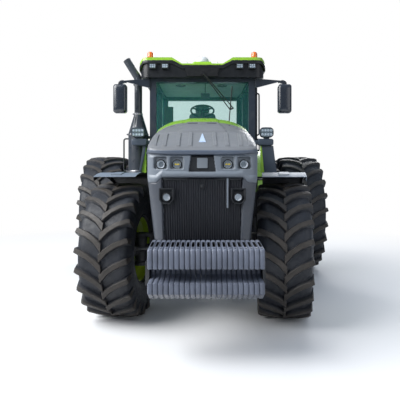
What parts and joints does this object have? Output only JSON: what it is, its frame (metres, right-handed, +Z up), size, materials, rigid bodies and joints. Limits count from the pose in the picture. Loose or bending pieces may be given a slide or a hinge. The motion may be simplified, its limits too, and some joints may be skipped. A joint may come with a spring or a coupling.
{
  "type": "farm tractor",
  "caption": "Four-wheel-drive farm tractor with dual rear wheels, a glazed cab, a tilting hood with grille and lamps, front weights, steered front wheels and a rear three-point hitch.",
  "frame": {"origin": "on the ground below the middle of the tractor's length and width", "axes": "+X to the tractor's left, +Y rearward (the front faces -Y), +Z up"},
  "size_m": [4.23, 5.8489, 3.495],
  "materials": {
    "chassis": "satin dark grey paint",
    "weights": "satin grey paint over cast iron",
    "engine": "matte",
    "radiator": "matte",
    "castings": "satin dark paint",
    "steel": "satin black paint",
    "bright": "machined",
    "tank": "moulded black plastic",
    "cab_floor": "satin dark paint",
    "cab_frame": "satin dark paint",
    "body": "glossy light green paint",
    "visor": "satin dark plastic",
    "glass": "tinted, clear",
    "lamp": "clear lens over a bright reflector",
    "beacon": "translucent amber",
    "gps": "light grey",
    "trim": "black plastic",
    "exhaust": "satin black, heat proof",
    "rails": "satin black",
    "seat": "dark cloth",
    "console": "grey plastic",
    "nose": "satin light grey",
    "mask": "satin grey",
    "grille": "black mesh",
    "fender": "grey plastic, lit from above",
    "tyre": "matte black rubber",
    "rim": "glossy yellow-green paint",
    "hub": "satin green paint"
  },
  "bodies": {
    "chassis": {"front_frame": "chassis", "front_weights": "weights", "engine_block": "engine", "radiator_pack": "radiator", "transaxle": "castings", "front_axle": "castings", "driveshaft": "steel", "fuel_tank": "tank", "battery_box": "chassis", "steps": "chassis", "cab_floor": "cab_floor", "cab_frame": "cab_frame", "roof_top": "body", "roof_visor": "visor", "cab_glass": "glass", "rear_fenders": "body", "work_lamps": "lamp", "beacons": "beacon", "gps_receiver": "gps", "wiper": "trim", "mirrors": "trim", "exhaust_stack": "exhaust", "light_pods": "trim", "handrails": "rails", "seat": "seat", "steering_wheel": "trim", "side_console": "console", "drawbar": "steel", "couplers": "steel", "hitch_mounts": "castings"},
    "door": {"door_frame": "trim", "door_glass": "glass"},
    "hood": {"hood_shell": "body", "hood_nose": "nose", "nose_mask": "mask", "grille": "grille", "headlamps": "lamp"},
    "knuckle_left": {"knuckle_left": "castings", "front_fender_left": "fender"},
    "knuckle_right": {"knuckle_right": "castings", "front_fender_right": "fender"},
    "tie_rod": {"tie_rod": "steel"},
    "front_wheel_left": {"front_tyre_left": "tyre", "front_rim_left": "rim", "front_hub_left": "hub"},
    "front_wheel_right": {"front_tyre_right": "tyre", "front_rim_right": "rim", "front_hub_right": "hub"},
    "rear_wheels_left": {"rear_tyres_left": "tyre", "rear_rims_left": "rim", "rear_hub_left": "hub"},
    "rear_wheels_right": {"rear_tyres_right": "tyre", "rear_rims_right": "rim", "rear_hub_right": "hub"},
    "lower_links": {"lower_links": "steel"},
    "lift_arms": {"lift_arms": "steel"},
    "lift_rods": {"lift_rods": "steel"},
    "top_link": {"top_link": "steel"},
    "pto_shaft": {"pto_shaft": "bright"}
  },
  "joints": [
    {"name": "steer_left", "type": "hinge", "parent": "chassis", "child": "knuckle_left", "pos_m": [0.75, -1.325, 0.8], "axis": [0, 0, 1], "range_deg": [-27, 43]},
    {"name": "steer_right", "type": "hinge", "parent": "chassis", "child": "knuckle_right", "pos_m": [-0.75, -1.325, 0.8], "axis": [0, 0, 1], "range_deg": [-27, 43]},
    {"name": "tie_rod_pin", "type": "hinge", "parent": "knuckle_left", "child": "tie_rod", "pos_m": [0.70825, -1.62208, 0.848], "axis": [0, 0, 1], "range_deg": [-43, 27]},
    {"name": "front_wheel_left_spin", "type": "hinge", "parent": "knuckle_left", "child": "front_wheel_left", "pos_m": [0.98073, -1.35743, 0.8], "axis": [0.9903, -0.1392, 0], "continuous": true},
    {"name": "front_wheel_right_spin", "type": "hinge", "parent": "knuckle_right", "child": "front_wheel_right", "pos_m": [-0.98073, -1.29257, 0.8], "axis": [0.9903, -0.1392, 0], "continuous": true},
    {"name": "rear_wheels_left_spin", "type": "hinge", "parent": "chassis", "child": "rear_wheels_left", "pos_m": [1, 1.725, 1.03], "axis": [1, 0, 0], "continuous": true},
    {"name": "rear_wheels_right_spin", "type": "hinge", "parent": "chassis", "child": "rear_wheels_right", "pos_m": [-1, 1.725, 1.03], "axis": [1, 0, 0], "continuous": true},
    {"name": "hood_tilt", "type": "hinge", "parent": "chassis", "child": "hood", "pos_m": [0, -0.51, 2.32], "axis": [-1, 0, 0], "range_deg": [0, 45]},
    {"name": "door_hinge", "type": "hinge", "parent": "chassis", "child": "door", "pos_m": [0.8, 0.7, 2.4], "axis": [0, 0, 1], "range_deg": [0, 70]},
    {"name": "hitch_lift", "type": "hinge", "parent": "chassis", "child": "lower_links", "pos_m": [0, 1.99, 0.64], "axis": [1, 0, 0], "range_deg": [-12, 32]},
    {"name": "lift_arm_pivot", "type": "hinge", "parent": "chassis", "child": "lift_arms", "pos_m": [0, 1.99, 1.44], "axis": [1, 0, 0], "range_deg": [-12, 32]},
    {"name": "lift_rod_pin", "type": "hinge", "parent": "lower_links", "child": "lift_rods", "pos_m": [0.4906, 2.40831, 0.6024], "axis": [1, 0, 0], "range_deg": [-32, 12]},
    {"name": "top_link_pin", "type": "hinge", "parent": "chassis", "child": "top_link", "pos_m": [0, 2.09, 1.18], "axis": [1, 0, 0], "range_deg": [-25, 25]},
    {"name": "pto_spin", "type": "hinge", "parent": "chassis", "child": "pto_shaft", "pos_m": [0, 2.1, 0.78], "axis": [0, 1, 0], "continuous": true}
  ],
  "couplings": [
    {"joint": "steer_right", "follows": "steer_left", "ratio": 1},
    {"joint": "tie_rod_pin", "follows": "steer_left", "ratio": -1},
    {"joint": "lift_arm_pivot", "follows": "hitch_lift", "ratio": 1},
    {"joint": "lift_rod_pin", "follows": "hitch_lift", "ratio": -1}
  ]
}
